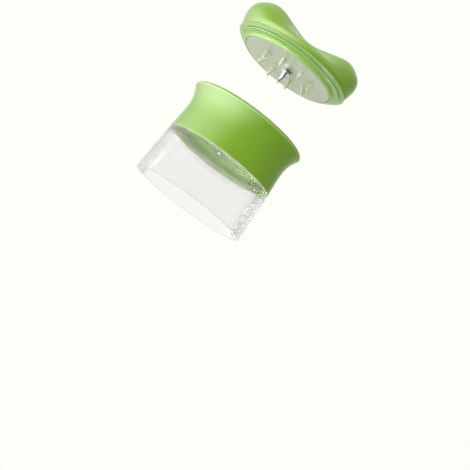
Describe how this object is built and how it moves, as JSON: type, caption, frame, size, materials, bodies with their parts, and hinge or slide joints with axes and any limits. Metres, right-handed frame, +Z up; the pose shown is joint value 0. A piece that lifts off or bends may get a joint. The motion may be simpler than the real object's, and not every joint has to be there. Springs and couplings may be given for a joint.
{
  "type": "hand-held twist spiralizer",
  "caption": "Hand-held twist spiralizer: clear catch sleeve, soft green collar with a feed funnel and blade unit, and a raised food holder that turns and feeds.",
  "frame": {"origin": "centre of the sleeve's foot, on the surface that the tool stands on", "axes": "+Z up the tool's axis from the sleeve to the handle, X along the handle's two lobes"},
  "size_m": [0.0882, 0.0848, 0.1394],
  "materials": {
    "green_grip": "soft moulded rubber, satin",
    "green_handle": "moulded plastic, satin",
    "light_green": "moulded plastic, light gloss",
    "pale_mint": "moulded plastic, light gloss",
    "white_plastic": "moulded plastic, light gloss",
    "pale_plate": "moulded plastic, light gloss",
    "clear_plastic": "clear moulded plastic",
    "silicone": "translucent silicone",
    "stainless": "ground stainless steel",
    "brass": "turned brass"
  },
  "bodies": {
    "cutter_body": {"grip_collar": "green_grip", "collar_core": "pale_mint", "feed_funnel": "white_plastic", "blade_carrier": "white_plastic", "slicing_blade": "stainless", "julienne_comb": "stainless", "coring_tube": "stainless", "blade_rivet_1": "stainless", "blade_rivet_2": "stainless", "comb_rivet_1": "stainless", "comb_rivet_2": "stainless", "carrier_screw_1": "stainless", "carrier_screw_2": "stainless", "carrier_screw_3": "stainless"},
    "catch_sleeve": {"clear_sleeve": "clear_plastic", "sleeve_ring": "silicone"},
    "holder_ring": {"seat_ring": "light_green"},
    "food_holder": {"handle_shell": "green_handle", "handle_base": "light_green", "spike_plate": "pale_plate", "centre_spike": "stainless", "spike_washer": "stainless", "hub_insert": "brass", "shell_screw_1": "stainless", "shell_screw_2": "stainless", "shell_screw_3": "stainless", "shell_screw_4": "stainless"}
  },
  "joints": [
    {"name": "sleeve_pull", "type": "slide", "parent": "cutter_body", "child": "catch_sleeve", "axis": [0, 0, -1], "range_m": [0, 0.025]},
    {"name": "holder_feed", "type": "slide", "parent": "cutter_body", "child": "holder_ring", "axis": [0, 0, 1], "range_m": [-0.045, 0.04]},
    {"name": "handle_turn", "type": "hinge", "parent": "holder_ring", "child": "food_holder", "pos_m": [0, 0, 0.1103], "axis": [0, 0, 1], "continuous": true}
  ]
}
